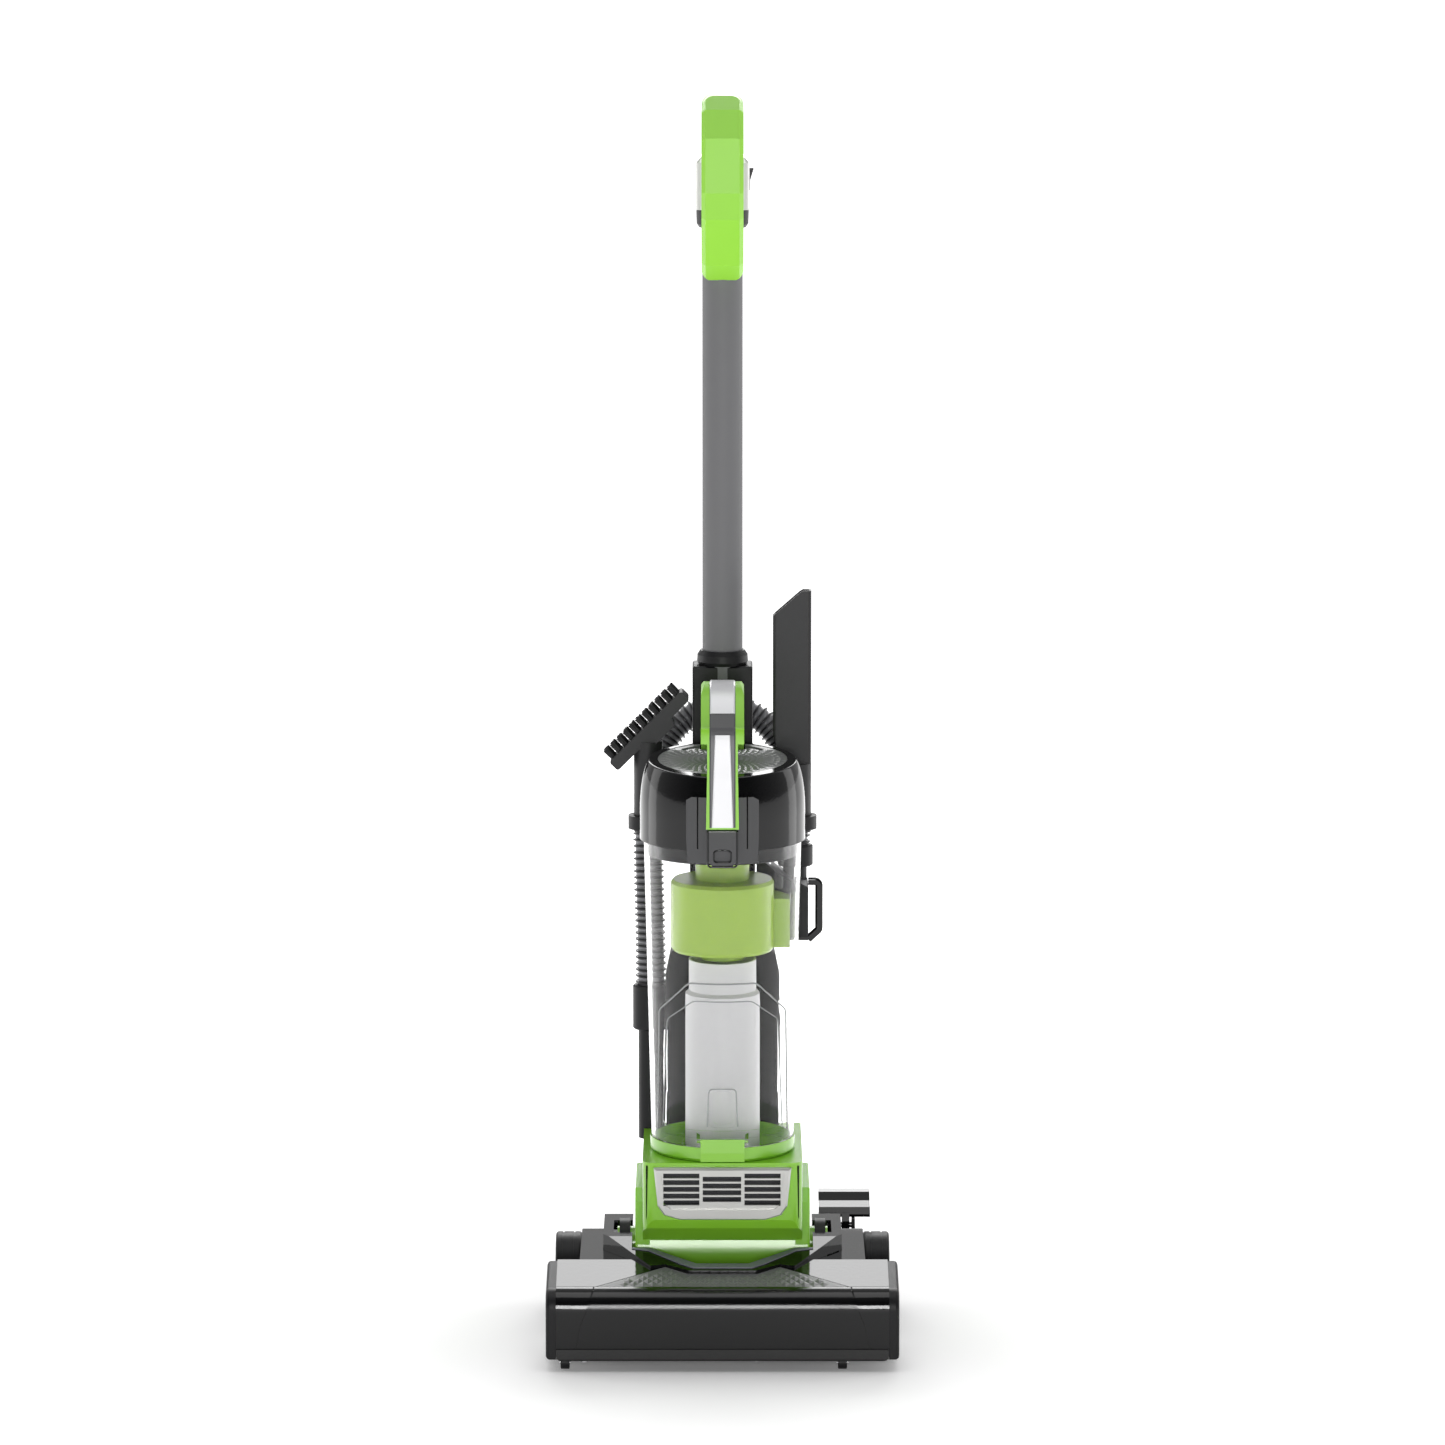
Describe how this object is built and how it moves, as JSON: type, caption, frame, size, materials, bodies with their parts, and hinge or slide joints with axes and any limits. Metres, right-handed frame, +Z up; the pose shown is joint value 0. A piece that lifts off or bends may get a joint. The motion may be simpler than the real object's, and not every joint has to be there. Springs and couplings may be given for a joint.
{
  "type": "upright vacuum cleaner",
  "caption": "Compact bagless upright vacuum: wide floor head, reclining green motor body, clear cyclone cup that lifts out, long tube with loop grip, stretch hose and stowed tools.",
  "frame": {"origin": "on the floor under the centre of the whole machine", "axes": "front faces -Y, +X is to the right seen from the front, +Z is up along the handle"},
  "size_m": [0.312, 0.3, 1.112],
  "materials": {
    "lime_green": "glossy moulded",
    "gloss_black": "high gloss",
    "satin_black": "satin moulded",
    "textured_grey": "knurled satin",
    "clear_plastic": "clear moulded",
    "green_clear": "translucent green",
    "pale_grey": "smooth",
    "smoked_grey": "smoked",
    "silver": "silver painted",
    "trim_grey": "satin",
    "steel": "turned",
    "painted_tube": "satin coat",
    "belt_rubber": "ribbed",
    "bumper_rubber": "soft",
    "bristle": "nylon",
    "foam": "open-cell foam",
    "hose_black": "ribbed"
  },
  "bodies": {
    "head": {"head_chassis": "satin_black", "sole_plate": "satin_black", "head_screws": "steel", "nozzle_cover": "gloss_black", "deck_panel": "textured_grey", "end_cap_right": "satin_black", "end_cap_left": "satin_black", "front_bumper": "bumper_rubber", "rear_deck": "gloss_black", "deck_trim": "trim_grey", "pivot_brackets": "satin_black", "suction_duct": "satin_black", "axle_pins": "steel", "brush_bearings": "steel", "drive_belt": "belt_rubber"},
    "wheel_left": {"rear_wheel_left": "satin_black"},
    "wheel_right": {"rear_wheel_right": "satin_black"},
    "roller_left": {"front_roller_left": "satin_black"},
    "roller_right": {"front_roller_right": "satin_black"},
    "brush": {"brush_core": "satin_black", "brush_bristles": "bristle"},
    "pedal": {"release_pedal": "gloss_black"},
    "upright": {"motor_housing": "lime_green", "motor_rear_cover": "satin_black", "exhaust_grille": "silver", "exhaust_filter": "foam", "motor_stator": "steel", "motor_bearings": "steel", "fan_housing": "satin_black", "body_spine": "satin_black", "cord_inlet": "bumper_rubber", "column": "satin_black", "handle_tube": "painted_tube", "tube_collars": "satin_black", "switch_housing": "silver", "handle_grip": "lime_green", "hose_port": "satin_black", "side_loop": "gloss_black", "lower_tube": "satin_black", "hose_cuffs": "satin_black", "stretch_hose": "hose_black", "tool_holder": "satin_black"},
    "motor": {"motor_shaft": "steel", "fan_impeller": "pale_grey"},
    "switch": {"switch_rocker": "gloss_black"},
    "cup": {"cup_shell": "clear_plastic", "cyclone": "green_clear", "standpipe": "pale_grey", "foam_filter": "foam", "lid_shell": "gloss_black", "lid_panel": "textured_grey", "lid_bracket": "smoked_grey", "carry_handle": "lime_green", "handle_inlay": "silver"},
    "cup_button": {"cup_release": "smoked_grey"},
    "door": {"dump_door": "lime_green"},
    "latch": {"door_latch": "lime_green"},
    "crevice": {"crevice_tool": "satin_black"},
    "duster": {"dusting_brush": "satin_black", "dusting_bristles": "bristle"}
  },
  "joints": [
    {"name": "recline", "type": "hinge", "parent": "head", "child": "upright", "pos_m": [0, 0.01, 0.08], "axis": [-1, 0, 0], "range_deg": [0, 70]},
    {"name": "wheel_left_spin", "type": "hinge", "parent": "head", "child": "wheel_left", "pos_m": [-0.14, 0.09, 0.0355], "axis": [1, 0, 0], "continuous": true},
    {"name": "wheel_right_spin", "type": "hinge", "parent": "head", "child": "wheel_right", "pos_m": [0.14, 0.09, 0.0355], "axis": [1, 0, 0], "continuous": true},
    {"name": "roller_left_spin", "type": "hinge", "parent": "head", "child": "roller_left", "pos_m": [-0.139, -0.1375, 0.006], "axis": [1, 0, 0], "continuous": true},
    {"name": "roller_right_spin", "type": "hinge", "parent": "head", "child": "roller_right", "pos_m": [0.106, -0.1375, 0.006], "axis": [1, 0, 0], "continuous": true},
    {"name": "brush_spin", "type": "hinge", "parent": "head", "child": "brush", "pos_m": [0, -0.108, 0.033], "axis": [1, 0, 0], "continuous": true},
    {"name": "motor_spin", "type": "hinge", "parent": "upright", "child": "motor", "pos_m": [0, 0.01, 0.08], "axis": [1, 0, 0], "continuous": true},
    {"name": "pedal_press", "type": "hinge", "parent": "head", "child": "pedal", "pos_m": [0.1125, 0.103, 0.075], "axis": [-1, 0, 0], "range_deg": [0, 10], "stiffness_Nm_per_rad": 2, "springref_deg": -2.86},
    {"name": "switch_rock", "type": "hinge", "parent": "upright", "child": "switch", "pos_m": [0.019, 0.062, 1.036], "axis": [0, -1, 0], "range_deg": [0, 12]},
    {"name": "cup_lift", "type": "slide", "parent": "upright", "child": "cup", "axis": [0, -0.5, 0.866], "range_m": [0, 0.2]},
    {"name": "cup_button_press", "type": "slide", "parent": "cup", "child": "cup_button", "axis": [0, 0, -1], "range_m": [0, 0.004], "stiffness_N_per_m": 400, "springref_m": -0.002},
    {"name": "door_open", "type": "hinge", "parent": "cup", "child": "door", "pos_m": [0, 0.038, 0.183], "axis": [1, 0, 0], "range_deg": [0, 60]},
    {"name": "latch_flip", "type": "hinge", "parent": "cup", "child": "latch", "pos_m": [0, -0.0968, 0.1964], "axis": [-1, 0, 0], "range_deg": [0, 15], "stiffness_Nm_per_rad": 0.2, "springref_deg": -2.86},
    {"name": "crevice_pull", "type": "slide", "parent": "upright", "child": "crevice", "axis": [0, 0, 1], "range_m": [0, 0.12]},
    {"name": "duster_pull", "type": "slide", "parent": "upright", "child": "duster", "axis": [0, 0, 1], "range_m": [0, 0.12]}
  ],
  "couplings": [
    {"joint": "brush_spin", "follows": "motor_spin", "ratio": 0.63636},
    {"joint": "door_open", "follows": "cup_lift", "rad_per_m": 5.236}
  ]
}
